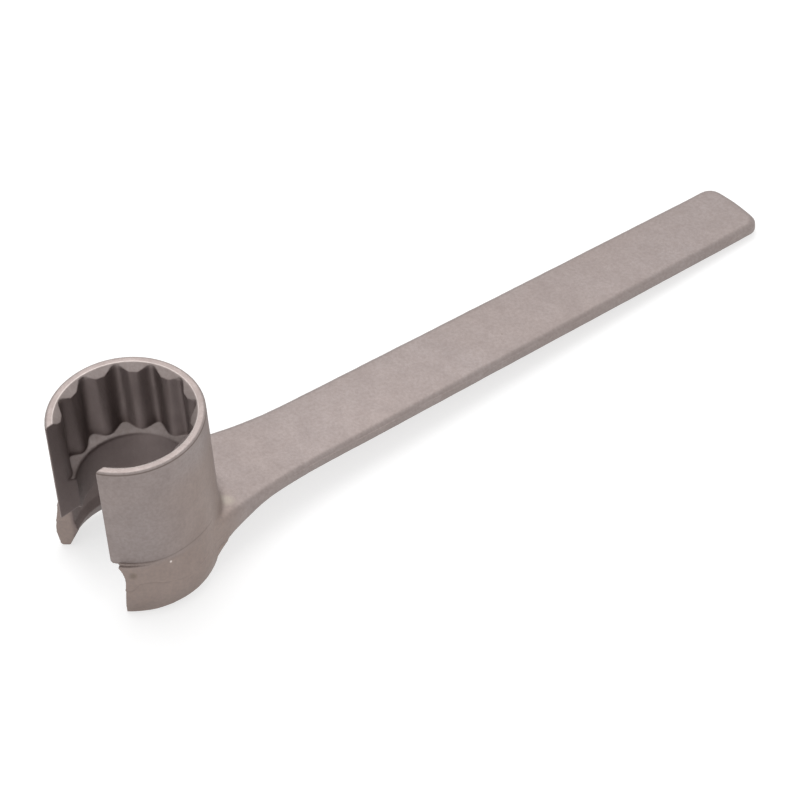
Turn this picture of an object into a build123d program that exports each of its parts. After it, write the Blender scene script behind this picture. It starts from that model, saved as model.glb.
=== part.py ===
"""Slotted ring spanner for taking out a pressure regulator, in one forged and machined piece.

A tall barrel with a 12-point hexagon profile stands on a forged ring. A slot down one side of the
barrel clears the regulator's lead and plug. A flat bar handle leaves the other side of the ring and
slopes away from the mouth, so that a hand clears the parts around the regulator.

Millimetres. The origin is on the barrel's axis, at the ring's bottom face. +Z runs up the barrel to
its open mouth, and +X runs out along the handle.
"""
import os
from math import acos, atan, atan2, cos, degrees, radians, sin, sqrt, tan

from build123d import *

# Profile that grips the regulator
HEX_ACROSS_FLATS = 30.0      # the hexagon that the tool turns
HEX_CLEARANCE = 0.3          # added to the across flats
PROFILE_DEPTH = 21.1         # from the rim down to the ledge
CORNER_RELIEF = 0.16         # the valleys reach this far past the hexagon's corners
VALLEY_ROUND = 2.0           # radius of the twelve valleys
RIDGE_ROUND = 3.7            # radius of the twelve ridges, which bear on the hexagon's flats
LEAD_IN_WALL = 2.05          # flat rim left outside the lead-in cone
LEAD_IN_DEPTH = 1.0          # how far down the cone meets the ridges

# Barrel
BARREL_DIAMETER = 40.0
BARREL_HEIGHT = 33.4         # machined length above the ring
RIM_CHAMFER = 0.5
BORE_DIAMETER = 29.5         # plain bore below the ledge
LEDGE_SLOPE = 32.0           # degrees from level
LEDGE_ROUND = 1.2            # soft edge where the ledge meets the bore
SLOT_WIDTH = 19.9
SLOT_FOOT_ROUND = 0.8        # rounds the barrel's two lower corners at the slot

# Forged ring below the barrel
RING_HEIGHT = 15.8
RING_OFFSET = -2.3           # the forging sits this far off the machined axis
RING_TOP_RADIUS = 19.5
PARTING_RADIUS = 21.4        # the forging's parting line, before it is rounded
PARTING_HEIGHT = 5.5         # above the ring's bottom
PARTING_ROUND = 10.0
RING_BOTTOM_RADIUS = 20.4
RING_BOTTOM_CHAMFER = 0.5
FOOT_BLEND = 4.0             # between the ring's side and the handle's underside
CAVITY_TOP_RADIUS = 16.3     # forged hollow inside the ring, round its own axis
CAVITY_RIDGE_RADIUS = 15.4   # ridge that is left where the forging's web was punched out
CAVITY_RIDGE_HEIGHT = 5.2
CAVITY_WALL_RADIUS = 16.2
CAVITY_WALL_HEIGHT = 8.0
CAVITY_MOUTH_RADIUS = 18.0
CAVITY_ROOF = 14.4           # height of the hollow's top, where it opens into the bore

# Opening of the ring
GAP_NEAR_ANGLE = 141.2       # bottom of the end face on the -Y side, from +X
GAP_FAR_ANGLE = 134.0        # bottom of the end face on the +Y side, from +X
END_LEAN = 0.8               # how far each end face leans back
END_LEAN_HEIGHT = 10.5       # up to this height
END_FOOT = 0.9               # then it curves out under the barrel, this far past its bottom edge

# Handle
HANDLE_LENGTH = 206.1        # from the barrel's axis to the end
HANDLE_DROP = 8.87           # degrees down from level
HANDLE_TOP = 12.9            # height of its straight top face, if carried back to the axis
HANDLE_THICKNESS = 4.7
TIP_WIDTH = 19.8
ROOT_WIDTH = 22.6            # where the flare to the ring starts
FLARE_START = 55.0           # distance of that place from the axis
FLARE_BITE = 0.9             # how far inside the ring's fullest part the flare ends
SWEEP_START = 65.0           # where the handle starts to curve up to the barrel
SWEEP_RADIUS = 640.0
NECK_BEND = 29.0             # where the underside turns level
NECK_BEND_ROUND = 40.0
TIP_CROWN = 32.0             # radius of the slightly curved end
TIP_CORNER = 4.5
EDGE_ROUND = 1.8             # along the top and bottom edges
NECK_BLEND = 2.5             # between the barrel and the handle's top face
BLEND_SINK = 0.15            # the blend starts this far inside the handle

BARREL_RADIUS = BARREL_DIAMETER / 2
BORE_RADIUS = BORE_DIAMETER / 2
RIM = RING_HEIGHT + BARREL_HEIGHT
LEDGE = RIM - PROFILE_DEPTH
ACROSS_FLATS = HEX_ACROSS_FLATS + HEX_CLEARANCE
HALF_PITCH = 15.0            # degrees from a valley to the next ridge
VALLEY_RADIUS = ACROSS_FLATS / sqrt(3) + CORNER_RELIEF
RIDGE_CENTRE = (ACROSS_FLATS / 2 + RIDGE_ROUND) / cos(radians(HALF_PITCH))
RIDGE_RADIUS = RIDGE_CENTRE - RIDGE_ROUND
LEAD_IN_RADIUS = BARREL_RADIUS - LEAD_IN_WALL
REACH = 3 * BARREL_RADIUS    # further out than the wall, for cutting tools


def revolved(points, x=0.0):
    """Solid turned from an outline of radius and height pairs, about an upright axis at x."""
    outline = Plane.XZ * make_face(Polyline(*points, close=True))
    return Pos(x, 0, 0) * revolve(outline, Axis.Z)


def barrel():
    """Machined cylinder, carried down into the ring, which it stands proud of on the handle's side."""
    base = handle_underside(NECK_BEND)
    body = Pos(0, 0, base) * extrude(Circle(BARREL_RADIUS), RIM - base)
    return chamfer(body.edges().group_by(Axis.Z)[-1], RIM_CHAMFER)


def ring():
    """Forged ring: fullest at its rounded parting line, with draft above and below it."""
    outline = make_face(Polyline((0, 0), (RING_BOTTOM_RADIUS - RING_BOTTOM_CHAMFER, 0),
                                 (RING_BOTTOM_RADIUS, RING_BOTTOM_CHAMFER),
                                 (PARTING_RADIUS, PARTING_HEIGHT),
                                 (RING_TOP_RADIUS, RING_HEIGHT), (0, RING_HEIGHT), close=True))
    parting = outline.vertices().sort_by_distance((PARTING_RADIUS, PARTING_HEIGHT, 0))[0]
    return Pos(RING_OFFSET, 0, 0) * revolve(Plane.XZ * fillet(parting, PARTING_ROUND), Axis.Z)


def along(x):
    """Height of the handle's straight top face at distance x."""
    return HANDLE_TOP - x * tan(radians(HANDLE_DROP))


def swept(x, radius):
    """Height at distance x on a circle about the centre of the handle's sweep."""
    centre_x = SWEEP_START + SWEEP_RADIUS * sin(radians(HANDLE_DROP))
    centre_z = along(SWEEP_START) + SWEEP_RADIUS * cos(radians(HANDLE_DROP))
    return centre_z - sqrt(radius ** 2 - (x - centre_x) ** 2)


def handle_underside(x):
    """Height of the swept underside at distance x."""
    return swept(x, SWEEP_RADIUS + HANDLE_THICKNESS)


def side_outline():
    """Handle seen from the side: the swept bar, with a level underside in the neck."""
    down = (HANDLE_THICKNESS * sin(radians(HANDLE_DROP)), HANDLE_THICKNESS * cos(radians(HANDLE_DROP)))
    end = HANDLE_LENGTH + TIP_CORNER
    top = [(RING_OFFSET, swept(RING_OFFSET, SWEEP_RADIUS)), (SWEEP_START, along(SWEEP_START)),
           (end, along(end))]
    low = [(end - down[0], along(end) - down[1]), (SWEEP_START - down[0], along(SWEEP_START) - down[1]),
           (NECK_BEND, handle_underside(NECK_BEND)), (RING_OFFSET, handle_underside(NECK_BEND))]
    return Curve() + [
        RadiusArc(top[0], top[1], -SWEEP_RADIUS),
        Polyline(top[1], top[2], low[0], low[1]),
        RadiusArc(low[1], low[2], SWEEP_RADIUS + HANDLE_THICKNESS),
        Polyline(low[2], low[3], top[0]),
    ]


def plan_outline():
    """Handle seen from above: crowned tip, slight taper, and a flare that runs onto the ring."""
    taper = (TIP_WIDTH - ROOT_WIDTH) / 2 / (HANDLE_LENGTH - FLARE_START)
    outward = Vector(-taper, 1).normalized()
    centre = Vector(RING_OFFSET, 0)
    start = Vector(FLARE_START, ROOT_WIDTH / 2)
    gap = start - centre
    inner = PARTING_RADIUS - FLARE_BITE
    radius = (gap.length ** 2 - inner ** 2) / 2 / (inner - gap.dot(outward))
    touch = centre + (start + outward * radius - centre).normalized() * inner
    shoulder = HANDLE_LENGTH - TIP_WIDTH ** 2 / (8 * TIP_CROWN)
    corner = Vector(shoulder, ROOT_WIDTH / 2 + taper * (shoulder - FLARE_START))
    half = Curve() + [
        Line(centre, touch),
        RadiusArc(touch, start, -radius),
        Line(start, corner),
    ]
    tip = ThreePointArc(corner, (HANDLE_LENGTH, 0), (corner.X, -corner.Y))
    return Curve() + [half, mirror(half, Plane.XZ), tip]


def column():
    """Upright block with the handle's plan, its tip corners rounded."""
    block = Pos(0, 0, -REACH) * extrude(make_face(plan_outline()), 2 * REACH)
    corners = block.edges().filter_by(Axis.Z).sort_by(Axis.X)[-2:]
    return fillet(corners, TIP_CORNER)


def handle():
    """Flat bar with rounded edges: its side outline crossed with its plan."""
    side = make_face(side_outline())
    bend = side.vertices().sort_by_distance((NECK_BEND, handle_underside(NECK_BEND), 0))[0]
    slab = extrude(Plane.XZ * fillet(bend, NECK_BEND_ROUND), REACH, both=True)
    bar = slab & column()
    return fillet(rim_edges(bar), EDGE_ROUND)


def rim_edges(bar):
    """Long edges of the handle's top and underside, and those round its tip."""
    rims = []
    for edge in bar.edges():
        middle = edge @ 0.5
        upright = abs((edge % 0.5).Z) > 0.5
        across = abs(middle.Y) < 1 and middle.X < HANDLE_LENGTH - TIP_CORNER
        inside = middle.X < BARREL_RADIUS / 4
        if not (upright or across or inside):
            rims.append(edge)
    return rims


def gripping_profile():
    """Twelve-point outline of rounded ridges and valleys, joined by short straight flanks."""
    valley = Vector(VALLEY_RADIUS - VALLEY_ROUND, 0)
    ridge = Vector(RIDGE_CENTRE, 0).rotate(Axis.Z, HALF_PITCH)
    across = ridge - valley
    facing = atan2(across.Y, across.X) - acos((VALLEY_ROUND + RIDGE_ROUND) / across.length)
    normal = Vector(cos(facing), sin(facing))
    high = valley + normal * VALLEY_ROUND
    low = ridge - normal * RIDGE_ROUND
    crest = ridge.normalized() * RIDGE_RADIUS
    side = Curve() + [
        TangentArc((VALLEY_RADIUS, 0), high, tangent=(0, 1)),
        Line(high, low),
        TangentArc(low, crest, tangent=low - high),
    ]
    point = side + mirror(side, Plane.XZ)
    return make_face(Curve() + [Rot(0, 0, 2 * HALF_PITCH * i) * point for i in range(12)])


def grip():
    """Hollow of the barrel: broached points, the lead-in cone, the sloping ledge and the bore."""
    points = extrude(gripping_profile(), RIM + 1)
    lip = LEDGE - tan(radians(LEDGE_SLOPE)) * (VALLEY_RADIUS - BORE_RADIUS)
    outline = make_face(Polyline((0, RIM + 1), (VALLEY_RADIUS, RIM + 1), (VALLEY_RADIUS, LEDGE),
                                 (BORE_RADIUS, lip), (BORE_RADIUS, 0), (0, 0), close=True))
    corner = outline.vertices().sort_by_distance((BORE_RADIUS, lip, 0))[0]
    turned = revolve(Plane.XZ * fillet(corner, LEDGE_ROUND), Axis.Z)
    steep = LEAD_IN_DEPTH / (LEAD_IN_RADIUS - RIDGE_RADIUS)
    lead_in = revolved([(0, RIM + steep), (LEAD_IN_RADIUS + 1, RIM + steep),
                        (RIDGE_RADIUS, RIM - LEAD_IN_DEPTH), (0, RIM - LEAD_IN_DEPTH)])
    return (points & turned) + lead_in


def cavity():
    """Forged hollow of the ring, with draft each way from the parting line."""
    points = [(0, -1), (CAVITY_MOUTH_RADIUS, -1), (CAVITY_MOUTH_RADIUS, 0),
              (CAVITY_RIDGE_RADIUS, CAVITY_RIDGE_HEIGHT), (CAVITY_WALL_RADIUS, CAVITY_WALL_HEIGHT),
              (CAVITY_TOP_RADIUS, CAVITY_ROOF), (0, CAVITY_ROOF)]
    return revolved(points, RING_OFFSET)


def slot():
    """Parallel slot down the barrel, away from the handle, flared at its foot."""
    wall = SLOT_WIDTH / 2
    knee = SLOT_FOOT_ROUND * (1 - cos(radians(45)))
    top = RIM + 1
    shin = (wall, RING_HEIGHT + SLOT_FOOT_ROUND)
    foot = (wall + SLOT_FOOT_ROUND, RING_HEIGHT)
    half = Curve() + [
        Polyline((0, top), (wall, top), shin),
        ThreePointArc(shin, (wall + knee, RING_HEIGHT + knee), foot),
        Line(foot, (0, RING_HEIGHT)),
    ]
    face = make_face(Curve() + [half, mirror(half, Plane.YZ)])
    return extrude(Plane.YZ * face, -REACH)


def end_cut():
    """Cut for one end of the ring, lying along +X with the opening on its +Y side."""
    lean = (-END_LEAN, END_LEAN_HEIGHT)
    foot = (END_FOOT, RING_HEIGHT)
    side = Curve() + [
        Polyline(foot, (SLOT_WIDTH / 2, RING_HEIGHT), (SLOT_WIDTH / 2, -1), (0, -1), (0, 0), lean),
        TangentArc(lean, foot, tangent=lean),
    ]
    return extrude(Plane.YZ * make_face(side), REACH)


def ring_gap():
    """Opening between the ring's two end faces, wider than the slot above it."""
    near = Rot(0, 0, -GAP_NEAR_ANGLE) * mirror(end_cut(), Plane.XZ)
    far = Rot(0, 0, GAP_FAR_ANGLE) * end_cut()
    middle = Pos(-REACH / 2, 0, RING_HEIGHT / 2 - 1) * Box(REACH, SLOT_WIDTH, RING_HEIGHT + 2)
    return near + far + middle


def flared_disc(radius, size):
    """Disc with a hollow rim, which flares from the radius at its top to its full width at its base."""
    disc = Pos(0, 0, size / 2) * Cylinder(radius + size, size)
    return disc - Pos(0, 0, size) * Torus(radius + size, size)


def neck_blend():
    """Hollow blend where the handle's top face meets the barrel, trimmed to the handle's plan."""
    lean = atan((SWEEP_START - BARREL_RADIUS) / SWEEP_RADIUS) - radians(HANDLE_DROP)
    height = swept(BARREL_RADIUS, SWEEP_RADIUS) - BARREL_RADIUS * tan(lean) - BLEND_SINK
    blend = Pos(0, 0, height) * Rot(0, -degrees(lean), 0) * flared_disc(BARREL_RADIUS, NECK_BLEND)
    return blend & column()


def foot_blend():
    """Hollow blend where the handle's underside meets the ring, trimmed to the handle's plan."""
    height = handle_underside(NECK_BEND) + BLEND_SINK
    blend = Pos(RING_OFFSET, 0, height) * Rot(180, 0, 0) * flared_disc(RING_BOTTOM_RADIUS, FOOT_BLEND)
    return blend & column()


def tool():
    solid = ring() + barrel() + handle() + neck_blend() + foot_blend()
    return solid - cavity() - grip() - slot() - ring_gap()


os.makedirs("parts", exist_ok=True)
export_step(tool(), "parts/regulator_wrench.step")
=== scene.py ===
"""Looks of the regulator removal tool: a blasted steel forging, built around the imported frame, in metres."""
from math import cos, pi, radians, sin

import bmesh
import bpy
import numpy as np
from mathutils import Matrix, Vector, noise

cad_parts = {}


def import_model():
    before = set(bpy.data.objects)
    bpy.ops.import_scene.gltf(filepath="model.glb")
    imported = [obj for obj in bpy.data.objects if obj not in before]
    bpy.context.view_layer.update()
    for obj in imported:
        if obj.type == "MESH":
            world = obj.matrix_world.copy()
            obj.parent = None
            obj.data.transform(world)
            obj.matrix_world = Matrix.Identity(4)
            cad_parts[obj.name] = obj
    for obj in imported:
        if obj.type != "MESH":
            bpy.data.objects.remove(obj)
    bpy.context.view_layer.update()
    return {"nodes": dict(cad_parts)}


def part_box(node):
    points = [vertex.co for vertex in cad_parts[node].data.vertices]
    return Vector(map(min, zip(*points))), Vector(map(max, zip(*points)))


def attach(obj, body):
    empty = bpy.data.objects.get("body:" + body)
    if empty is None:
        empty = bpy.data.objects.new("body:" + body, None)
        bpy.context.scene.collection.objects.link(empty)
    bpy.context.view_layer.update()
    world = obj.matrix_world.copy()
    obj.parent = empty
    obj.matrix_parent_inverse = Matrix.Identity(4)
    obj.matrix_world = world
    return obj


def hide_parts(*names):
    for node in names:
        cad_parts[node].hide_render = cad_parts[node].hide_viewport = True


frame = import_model()

MM = 0.001
NODE = "regulator_wrench"

# Camera, fitted to the photograph's outline: a long lens from above the slot's side
CAMERA_PLACE = Vector((-402.9, -650.6, 847.8)) * MM
CAMERA_AZIMUTH = radians(53.172)
CAMERA_ELEVATION = radians(46.490)
CAMERA_ROLL = radians(5.492)
LENS = 202.5
SENSOR = 36.0

# Places on the tool, in its own frame
BARREL_RADIUS = 20.0 * MM
RING_HEIGHT = 15.8 * MM
RING_OFFSET = -2.3 * MM
PARTING_HEIGHT = 5.5 * MM
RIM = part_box(NODE)[1][2]

# Refined skin
VOXEL = 0.22 * MM
EDGE_PASSES = 2
BLEND_PASSES = 14
PROFILE_PASSES = 24
TRIANGLES = 190000
RIM_WALL_RADIUS = 17.95 * MM
LAND_LOW = (15.80 * MM, 29.5 * MM)
LAND_TOP_RADIUS = 16.00 * MM
HANDLE_CROWN = 0.32 * MM
TIP_FILL = 0.75 * MM
LATHE_STEPS = 180

# Small marks on the ring and barrel, as places on the surface, with a painted glint on the ring's shoulder and
# a patch of painted highlight at the handle's root
LINE_DEPTH = 0.06 * MM
SEAM_HEIGHT = 0.13 * MM
# Painted glint: a bright spot of highlight on the ring's shoulder, below the barrel's edge.
PAINTED_GLINTS = (((-5.64, -19.41, 14.70), 0.42),)
DARK_MARKS = (((-14.8, -15.6, 13.3), 1.3), ((117.7, -3.0, -5.5), 0.35))
# Painted highlight: a pale pool of light at the handle's root, near side.
PAINTED_SHEEN_PATCH = ((18.9, -10.9, 11.8), 2.6)


def read(mesh):
    """Vertex places and edges of a mesh, as arrays."""
    points = np.empty(len(mesh.vertices) * 3)
    mesh.vertices.foreach_get("co", points)
    edges = np.empty(len(mesh.edges) * 2, dtype=np.int64)
    mesh.edges.foreach_get("vertices", edges)
    return points.reshape(-1, 3), edges.reshape(-1, 2)


def normals_of(mesh):
    """Vertex normals of a mesh, as an array."""
    normals = np.empty(len(mesh.vertices) * 3)
    mesh.vertices.foreach_get("normal", normals)
    return normals.reshape(-1, 3)


def neighbour_mean(values, edges, count):
    """Mean of each vertex's neighbours."""
    total = np.zeros_like(values)
    for a, b in ((0, 1), (1, 0)):
        for k in range(values.shape[1]):
            total[:, k] += np.bincount(edges[:, a], values[edges[:, b], k], len(values))
    return total / count[:, None]


def relax(points, edges, weight, passes):
    """Smooths the vertices, each by its own weight."""
    count = np.bincount(edges.ravel(), minlength=len(points)).astype(float)
    for _ in range(passes):
        points = points + weight[:, None] * (neighbour_mean(points, edges, count) - points)
    return points


def ramp(values, low, high):
    """0 at low, 1 at high, with soft ends."""
    t = np.clip((values - low) / (high - low), 0, 1)
    return t * t * (3 - 2 * t)


def ripple(points, size, seed):
    """Smooth noise of about this feature size at each point, from -1 to 1."""
    shift = Vector((seed * 17.3, seed * 5.1, seed * 9.7))
    return np.array([noise.noise(Vector(p) / size + shift) for p in points])


def modified(obj):
    """The object's mesh with its modifiers applied."""
    depsgraph = bpy.context.evaluated_depsgraph_get()
    return bpy.data.meshes.new_from_object(obj.evaluated_get(depsgraph))


def neck_zone(points):
    """1 where the forging runs from the ring into the handle, outside the barrel's machined face."""
    x, y, z = points.T
    out = np.hypot(x, y)
    return (ramp(x, -3 * MM, 4 * MM) * (1 - ramp(x, 30 * MM, 38 * MM))
            * (1 - ramp(z, 14.6 * MM, 16.2 * MM)) * ramp(z, 0.8 * MM, 2.2 * MM)
            * ramp(out, 18.6 * MM, 19.4 * MM))


def profile_zone(points):
    """1 on the ridges and valleys of the gripping profile, clear of its two ends."""
    x, y, z = points.T
    out = np.hypot(x, y)
    return (ramp(out, 15.2 * MM, 15.5 * MM) * (1 - ramp(out, 17.8 * MM, 18.2 * MM))
            * ramp(z, 30.0 * MM, 31.5 * MM) * (1 - ramp(z, 46.6 * MM, 47.4 * MM)))


def mound(distance, width):
    """Rounded bump that falls from 1 to 0 over this width."""
    return np.exp(-(distance / width) ** 2)


def barrel_line(turn):
    """Height of the barrel's lower edge line round its near side, with the turn in degrees."""
    return (16.2 + 1.1 * ramp(turn, -125, -80)) * MM


def forging_marks(points, normals):
    """Height of the small raised and sunken marks that forging and trimming left, in metres."""
    x, y, z = points.T
    turn = np.degrees(np.arctan2(y, x))
    out = np.hypot(x, y)
    side = ramp(out, 19.2 * MM, 19.8 * MM) * (1 - ramp(np.abs(normals[:, 2]), 0.6, 0.8))
    near = (1 - ramp(turn, -70, -55)) * side
    groove = mound(z - barrel_line(turn), 0.22 * MM) * near * (1 - ramp(out, 20.6 * MM, 21.2 * MM))
    seam_line = (10.9 - 2.6 * ramp(turn, -128, -98) - 2.2 * (1 - ramp(turn, -136, -129))) * MM
    seam_line += 0.12 * MM * np.sin(np.radians(turn * 23))
    seam = mound(z - seam_line, 0.28 * MM) * side * (1 - ramp(x, 8 * MM, 16 * MM))
    step = ramp(seam_line - z, 0, 0.5 * MM) * side * (1 - ramp(x, 8 * MM, 16 * MM))
    patchy = 0.6 + 0.4 * np.sin(np.radians(turn * 13 + 40)) * np.cos(np.radians(turn * 5))
    height = SEAM_HEIGHT * seam * patchy - 0.10 * MM * step * ramp(z, 3 * MM, 8 * MM)
    return height - LINE_DEPTH * groove


def lathe(name, profile):
    """Closed solid of revolution about the barrel's axis, from (radius, height) pairs between two poles."""
    form = bmesh.new()
    rings = []
    for radius, height in profile:
        if radius == 0:
            rings.append([form.verts.new((0, 0, height))] * LATHE_STEPS)
            continue
        turns = (2 * pi * k / LATHE_STEPS for k in range(LATHE_STEPS))
        rings.append([form.verts.new((radius * cos(t), radius * sin(t), height)) for t in turns])
    for low, high in zip(rings, rings[1:]):
        for k in range(LATHE_STEPS):
            after = (k + 1) % LATHE_STEPS
            corners = dict.fromkeys((low[k], low[after], high[after], high[k]))
            form.faces.new(list(corners))
    mesh = bpy.data.meshes.new(name)
    form.to_mesh(mesh)
    form.free()
    obj = bpy.data.objects.new(name, mesh)
    bpy.context.scene.collection.objects.link(obj)
    return obj


def bored(obj):
    """Adds the steep lead-in and the bored land on the ridges of the gripping profile."""
    over = 2 * MM
    land_top = RIM - (RIM_WALL_RADIUS - LAND_TOP_RADIUS)
    profile = [(0, LAND_LOW[1]), LAND_LOW, (LAND_TOP_RADIUS, land_top),
               (RIM_WALL_RADIUS + over, RIM + over), (0, RIM + over)]
    cutter = lathe("cutter", profile)
    cut = obj.modifiers.new("cut", "BOOLEAN")
    cut.operation = "DIFFERENCE"
    cut.solver = "EXACT"
    cut.object = cutter
    mesh = modified(obj)
    bpy.data.objects.remove(cutter)
    obj.modifiers.clear()
    obj.data = mesh


def handle_form(points, normals):
    """Crowns the handle's two broad faces and squares up its tip a little."""
    x, y, z = points.T
    across = (y / (10 * MM)) ** 2
    along = ramp(x, 26 * MM, 46 * MM)
    z = z - np.sign(normals[:, 2]) * ramp(np.abs(normals[:, 2]), 0.2, 0.6) * HANDLE_CROWN * across * along
    x = x + TIP_FILL * np.clip(across, 0, 1) * ramp(x, 192 * MM, 203 * MM)
    return np.stack([x, y, z], axis=1)


def skin():
    """The tool's surface, with its edges broken, its forged blends softened and its small marks."""
    rough = bpy.data.objects.new("rough", frame["nodes"][NODE].data.copy())
    bpy.context.scene.collection.objects.link(rough)
    bored(rough)
    cells = rough.modifiers.new("cells", "REMESH")
    cells.mode = "VOXEL"
    cells.voxel_size = VOXEL
    mesh = modified(rough)
    bpy.data.objects.remove(rough)

    points, edges = read(mesh)
    points = relax(points, edges, np.full(len(points), 0.5), EDGE_PASSES)
    points = relax(points, edges, 0.5 * neck_zone(points), BLEND_PASSES)
    points = relax(points, edges, 0.5 * profile_zone(points), PROFILE_PASSES)
    mesh.vertices.foreach_set("co", points.ravel())
    mesh.update()

    points = handle_form(points, normals_of(mesh))
    mesh.vertices.foreach_set("co", points.ravel())
    mesh.update()

    normals = normals_of(mesh)
    x, y, z = points.T
    out = np.hypot(x, y)
    inside = 1 - ramp(out, 18.6 * MM, 19.4 * MM)
    forged = np.maximum(1 - ramp(z, 15.2 * MM, 16.2 * MM), ramp(out, 20.4 * MM, 21.2 * MM))
    forged *= 1 - inside
    uneven = 0.020 * MM + 0.045 * MM * forged
    lift = uneven * (0.6 * ripple(points, 5.0 * MM, 1) + 0.4 * ripple(points, 2.2 * MM, 2))
    lift += forging_marks(points, normals)
    points = points + normals * lift[:, None]
    mesh.vertices.foreach_set("co", points.ravel())
    mesh.update()

    dense = bpy.data.objects.new("dense", mesh)
    bpy.context.scene.collection.objects.link(dense)
    fewer = dense.modifiers.new("fewer", "DECIMATE")
    fewer.ratio = TRIANGLES / (2 * len(mesh.polygons))
    fewer.use_collapse_triangulate = True
    final = modified(dense)
    bpy.data.objects.remove(dense)
    final.polygons.foreach_set("use_smooth", np.ones(len(final.polygons), dtype=bool))
    piece = bpy.data.objects.new("wrench_body", final)
    bpy.context.scene.collection.objects.link(piece)
    return piece


def paint(mesh, name, values):
    """Stores one number per vertex for the material to read."""
    layer = mesh.attributes.new(name, "FLOAT", "POINT")
    layer.data.foreach_set("value", values.astype(np.float32))


def surface_facts(mesh):
    """Per-vertex numbers for the material: worn edges, painted shade on the inner faces, the slot walls and in
    creases, the forged ring, and painted shade along the barrel's lower edge line.
    """
    points, edges = read(mesh)
    normals = normals_of(mesh)
    count = np.bincount(edges.ravel(), minlength=len(points)).astype(float)
    lean = neighbour_mean(points, edges, count) - points
    bend = -np.einsum("ij,ij->i", lean, normals) / (0.1 * MM)
    for _ in range(2):
        bend = 0.5 * bend + 0.5 * neighbour_mean(bend[:, None], edges, count)[:, 0]
    x, y, z = points.T
    out = np.hypot(x, y)
    inward = -(x * normals[:, 0] + y * normals[:, 1]) / np.maximum(out, 1e-6)
    # Painted shade: the bore's inner faces and the slot walls, where little light reaches, are darkened in the
    # colour.
    painted_inner_shade = (1 - ramp(out, 18.0 * MM, 18.6 * MM)) * (1 - ramp(z, RIM - 1.6 * MM, RIM - 0.9 * MM))
    painted_inner_shade *= ramp(inward, -0.3, 0.2) * (1 - ramp(normals[:, 2], 0.35, 0.7))
    slot_wall = ramp(np.abs(normals[:, 1]), 0.8, 0.95) * (1 - ramp(np.abs(y), 10.1 * MM, 10.4 * MM))
    slot_wall *= ramp(-x, 5 * MM, 10 * MM) * ramp(z, 15 * MM, 16 * MM)
    paint(mesh, "worn", np.clip(bend, 0, 1))
    # Painted shade in concave creases and fillets.
    paint(mesh, "painted_crease_shade", np.clip(-bend, 0, 1))
    paint(mesh, "painted_inner_shade", np.maximum(painted_inner_shade, slot_wall))
    turn = np.degrees(np.arctan2(y, x))
    ring = (1 - ramp(z, 15.0 * MM, 17.0 * MM)) * (1 - ramp(x, 12 * MM, 24 * MM))
    flank = ramp(turn, -125, -70) * (1 - ramp(turn, -48, -30)) * (1 - ramp(z, 36 * MM, 46 * MM))
    flank *= ramp(out, 19.0 * MM, 19.6 * MM) * (1 - ramp(out, 21 * MM, 24 * MM))
    paint(mesh, "warm", np.maximum(0.95 * ring, 0.85 * flank))
    # Painted shade along the barrel's lower edge line, where it steps over the ring; the groove there is real
    # geometry.
    outside = ramp(out, 19.4 * MM, 19.8 * MM) * (1 - ramp(out, 20.5 * MM, 21.0 * MM))
    line = mound(z - barrel_line(turn), 0.25 * MM) * outside * (1 - ramp(turn, -72, -58))
    paint(mesh, "line", line * (1 - ramp(turn, 60, 61)))


class Tree:
    """Short way to add linked shader nodes."""

    def __init__(self, mat):
        mat.use_nodes = True
        self.nodes = mat.node_tree.nodes
        self.links = mat.node_tree.links

    def add(self, kind, inputs=None, **settings):
        node = self.nodes.new(kind)
        for name, value in settings.items():
            setattr(node, name, value)
        for name, value in (inputs or {}).items():
            if isinstance(value, bpy.types.NodeSocket):
                self.links.new(value, node.inputs[name])
            else:
                node.inputs[name].default_value = value
        return node

    def fact(self, name):
        return self.add("ShaderNodeAttribute", attribute_name=name).outputs["Fac"]

    def spots(self, place, scale, detail=2.0):
        node = self.add("ShaderNodeTexNoise", {"Vector": place, "Scale": scale, "Detail": detail})
        return node.outputs["Fac"]

    def scaled(self, value, low, high, to_low, to_high):
        node = self.add("ShaderNodeMapRange", {"Value": value, "From Min": low, "From Max": high,
                                               "To Min": to_low, "To Max": to_high})
        return node.outputs["Result"]

    def band(self, value, low, high, soft):
        rise = self.scaled(value, low - soft, low, 0, 1)
        fall = self.scaled(value, high, high + soft, 1, 0)
        return self.product(rise, fall)

    def product(self, first, second):
        return self.add("ShaderNodeMath", {0: first, 1: second}, operation="MULTIPLY").outputs["Value"]

    def near(self, place, centre, reach):
        away = self.add("ShaderNodeVectorMath", {0: place, 1: centre}, operation="DISTANCE")
        return self.scaled(away.outputs["Value"], reach * 0.35, reach, 1, 0)

    def mixed(self, amount, first, second):
        node = self.add("ShaderNodeMix", data_type="RGBA")
        self.links.new(amount, node.inputs["Factor"])
        for socket, value in ((node.inputs[6], first), (node.inputs[7], second)):
            if isinstance(value, bpy.types.NodeSocket):
                self.links.new(value, socket)
            else:
                socket.default_value = (*value, 1)
        return node.outputs[2]

    def bumped(self, height, distance, strength, normal=None):
        inputs = {"Height": height, "Distance": distance, "Strength": strength}
        if normal:
            inputs["Normal"] = normal
        return self.add("ShaderNodeBump", inputs).outputs["Normal"]


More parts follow.
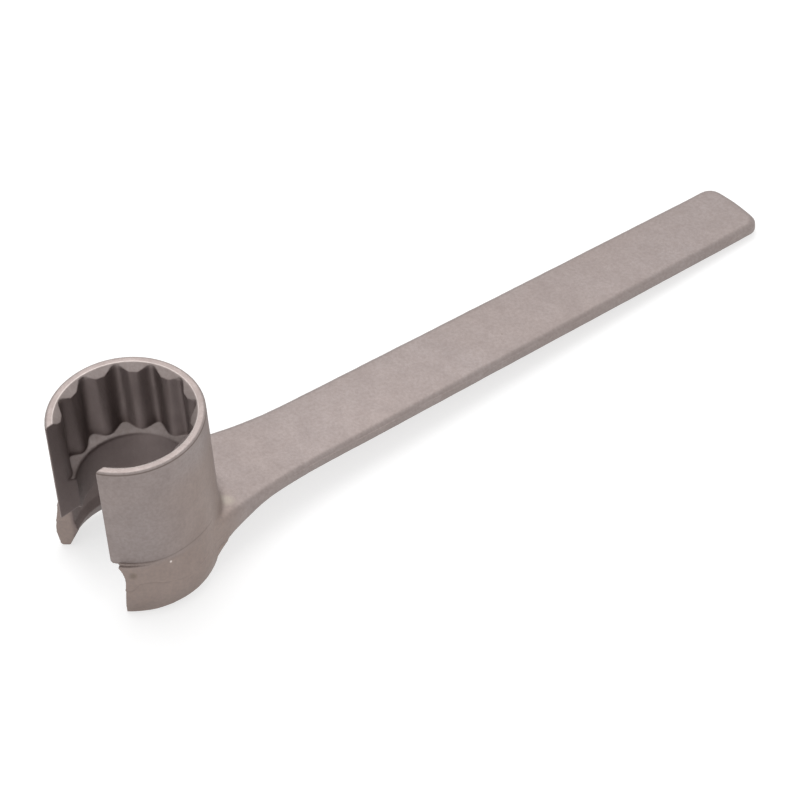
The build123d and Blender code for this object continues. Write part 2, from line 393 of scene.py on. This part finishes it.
def steel():
    """Blasted steel: warm grey and satin, browner on the ring, pale on worn edges, with painted shade inside,
    in creases, below the rim and along the barrel's lower edge, and painted highlights on the rim, the ring's
    shoulder and the handle's root.
    """
    mat = bpy.data.materials.new("steel")
    tree = Tree(mat)
    shader = tree.nodes["Principled BSDF"]
    place = tree.add("ShaderNodeTexCoord").outputs["Object"]
    broad = tree.spots(place, 45.0, 3.0)
    patch = tree.spots(place, 160.0, 4.0)
    speck = tree.spots(place, 1150.0, 3.0)
    grain = tree.spots(place, 2600.0, 2.0)

    plan = tree.add("ShaderNodeVectorMath", {0: place, 1: (1, 1, 0)}, operation="MULTIPLY")
    radius = tree.add("ShaderNodeVectorMath", {0: plan.outputs[0]}, operation="LENGTH").outputs["Value"]
    height = tree.add("ShaderNodeSeparateXYZ", {0: place}).outputs["Z"]

    colour = tree.mixed(tree.scaled(broad, 0.35, 0.65, 0, 1), (0.336, 0.292, 0.282), (0.328, 0.280, 0.266))
    colour = tree.mixed(tree.scaled(patch, 0.40, 0.70, 0, 0.4), colour, (0.306, 0.262, 0.250))
    warm = tree.scaled(tree.fact("warm"), 0, 1, 0, 0.9)
    colour = tree.mixed(warm, colour, (0.316, 0.252, 0.222))
    colour = tree.mixed(tree.scaled(speck, 0.34, 0.70, 0, 0.55), colour, (0.262, 0.216, 0.202))
    # Painted shade inside the bore and on the slot walls.
    colour = tree.mixed(tree.scaled(tree.fact("painted_inner_shade"), 0, 1, 0, 0.85), colour, (0.190, 0.152, 0.146))
    # Painted shade darkens the concave creases and fillets.
    colour = tree.mixed(tree.scaled(tree.fact("painted_crease_shade"), 0.1, 0.6, 0, 0.55), colour, (0.160, 0.122, 0.104))
    colour = tree.mixed(tree.scaled(tree.fact("worn"), 0.25, 0.8, 0, 0.5), colour, (0.430, 0.380, 0.362))
    # Painted highlight: a thin bright line along the inner edge of the rim's top.
    rim_top = tree.scaled(height, RIM - 0.12 * MM, RIM - 0.04 * MM, 0, 1)
    painted_rim_highlight = tree.product(tree.band(radius, 17.9 * MM, 18.1 * MM, 0.12 * MM), rim_top)
    colour = tree.mixed(tree.product(painted_rim_highlight, tree.scaled(speck, 0.3, 0.6, 0.4, 1)), colour,
                        (0.47, 0.42, 0.40))
    # Painted shade: a thin dark line on the rim's outer chamfer.
    below_rim = tree.band(height, RIM - 0.75 * MM, RIM - 0.50 * MM, 0.12 * MM)
    painted_chamfer_shade = tree.product(tree.scaled(radius, 19.6 * MM, 19.8 * MM, 0, 0.8), below_rim)
    colour = tree.mixed(painted_chamfer_shade, colour, (0.160, 0.125, 0.110))
    # Painted shade in the groove along the barrel's lower edge.
    colour = tree.mixed(tree.scaled(tree.fact("line"), 0, 1, 0, 0.4), colour, (0.150, 0.115, 0.100))
    for centre, reach in DARK_MARKS:
        mark_and_glint = tree.near(place, Vector(centre) * MM, reach * MM)
        colour = tree.mixed(tree.product(mark_and_glint, 0.45), colour, (0.15, 0.12, 0.09))
    # Painted glints: bright spots of highlight on the ring's shoulder.
    for centre, reach in PAINTED_GLINTS:
        mark_and_glint = tree.near(place, Vector(centre) * MM, reach * MM)
        colour = tree.mixed(mark_and_glint, colour, (0.72, 0.66, 0.62))
    # Painted highlight: a pale pool of light at the handle's root, near side.
    painted_sheen = tree.near(place, Vector(PAINTED_SHEEN_PATCH[0]) * MM, PAINTED_SHEEN_PATCH[1] * MM)
    colour = tree.mixed(tree.product(painted_sheen, 0.6), colour, (0.41, 0.365, 0.315))
    tree.links.new(colour, shader.inputs["Base Color"])
    shader.inputs["Metallic"].default_value = 1.0
    tree.links.new(tree.scaled(patch, 0.3, 0.7, 0.50, 0.60), shader.inputs["Roughness"])

    pitted = tree.bumped(grain, 0.00006, 0.55)
    tree.links.new(tree.bumped(patch, 0.00025, 0.35, pitted), shader.inputs["Normal"])
    return mat


def camera():
    """Camera at the photograph's viewing angle."""
    az, el = CAMERA_AZIMUTH, CAMERA_ELEVATION
    ahead = Vector((cos(az) * cos(el), sin(az) * cos(el), -sin(el)))
    level = ahead.cross(Vector((0, 0, 1))).normalized()
    below = ahead.cross(level)
    right = level * cos(CAMERA_ROLL) + below * sin(CAMERA_ROLL)
    down = below * cos(CAMERA_ROLL) - level * sin(CAMERA_ROLL)
    data = bpy.data.cameras.new("camera")
    data.lens = LENS
    data.sensor_width = SENSOR
    data.clip_start = 0.05
    data.clip_end = 20
    cam = bpy.data.objects.new("camera", data)
    turn = Matrix((right, -down, -ahead)).transposed()
    cam.matrix_world = Matrix.Translation(CAMERA_PLACE) @ turn.to_4x4()
    bpy.context.scene.collection.objects.link(cam)
    bpy.context.scene.camera = cam


def resting_surface(points):
    """Lean and height of the flat surface that touches the ring's open end and the handle's tip."""
    low, high = 0.0, radians(15)
    for _ in range(40):
        lean = (low + high) / 2
        up = Vector((sin(lean), 0, cos(lean)))
        heel = min(up.dot(p) for p in points if p.x < 0)
        toe = min(up.dot(p) for p in points if p.x > 0.1)
        if toe < heel:
            low = lean
        else:
            high = lean
    return lean, heel


def seen_rays(tree):
    """1 for rays from the camera, from glossy surfaces and through clear ones, or else 0."""
    path = tree.add("ShaderNodeLightPath")
    total = path.outputs["Is Camera Ray"]
    for name in ("Is Glossy Ray", "Is Transmission Ray"):
        total = tree.add("ShaderNodeMath", {0: total, 1: path.outputs[name]},
                         operation="MAXIMUM").outputs["Value"]
    return total


def floor(lean, height):
    """Plain pale floor that keeps the tool's shadow."""
    up = Vector((sin(lean), 0, cos(lean)))
    bpy.ops.mesh.primitive_plane_add(size=6)
    plane = bpy.context.object
    plane.name = "floor"
    plane.matrix_world = Matrix.Translation(up * height) @ Matrix.Rotation(lean, 4, "Y")
    mat = bpy.data.materials.new("floor")
    tree = Tree(mat)
    shader = tree.nodes["Principled BSDF"]
    shader.inputs["Base Color"].default_value = (0.45, 0.45, 0.45, 1)
    shader.inputs["Roughness"].default_value = 1.0
    shader.inputs["Specular IOR Level"].default_value = 0.0
    glow = tree.add("ShaderNodeEmission", {"Strength": tree.scaled(seen_rays(tree), 0, 1, 0, 0.66)})
    both = tree.add("ShaderNodeAddShader", {0: shader.outputs[0], 1: glow.outputs[0]})
    tree.links.new(both.outputs[0], tree.nodes["Material Output"].inputs["Surface"])
    plane.data.materials.append(mat)


def world():
    """White surroundings for the camera and for reflections, softer for the rest."""
    bpy.context.scene.world = bpy.data.worlds.new("studio")
    tree = Tree(bpy.context.scene.world)
    back = tree.nodes["Background"]
    back.inputs["Color"].default_value = (1, 1, 1, 1)
    tree.links.new(tree.scaled(seen_rays(tree), 0, 1, 0.62, 1.0), back.inputs["Strength"])


def softbox(name, place, aim, size, power, colour=(1, 1, 1)):
    """Rectangular area lamp at place, facing aim."""
    data = bpy.data.lights.new(name, "AREA")
    data.shape = "RECTANGLE"
    data.size, data.size_y = size
    data.energy = power
    data.color = colour
    lamp = bpy.data.objects.new(name, data)
    lamp.location = place
    lamp.rotation_euler = (Vector(aim) - Vector(place)).to_track_quat("-Z", "Y").to_euler()
    bpy.context.scene.collection.objects.link(lamp)


wrench = skin()
surface_facts(wrench.data)
wrench.data.materials.clear()
wrench.data.materials.append(steel())
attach(wrench, "root")
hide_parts(NODE)

camera()
lean, height = resting_surface([v.co for v in wrench.data.vertices])
floor(lean, height)
world()
softbox("overhead", (0.25, 0.35, 1.0), (0.05, 0, 0), (0.9, 0.9), 7.0)
bpy.context.scene.view_settings.view_transform = "Standard"
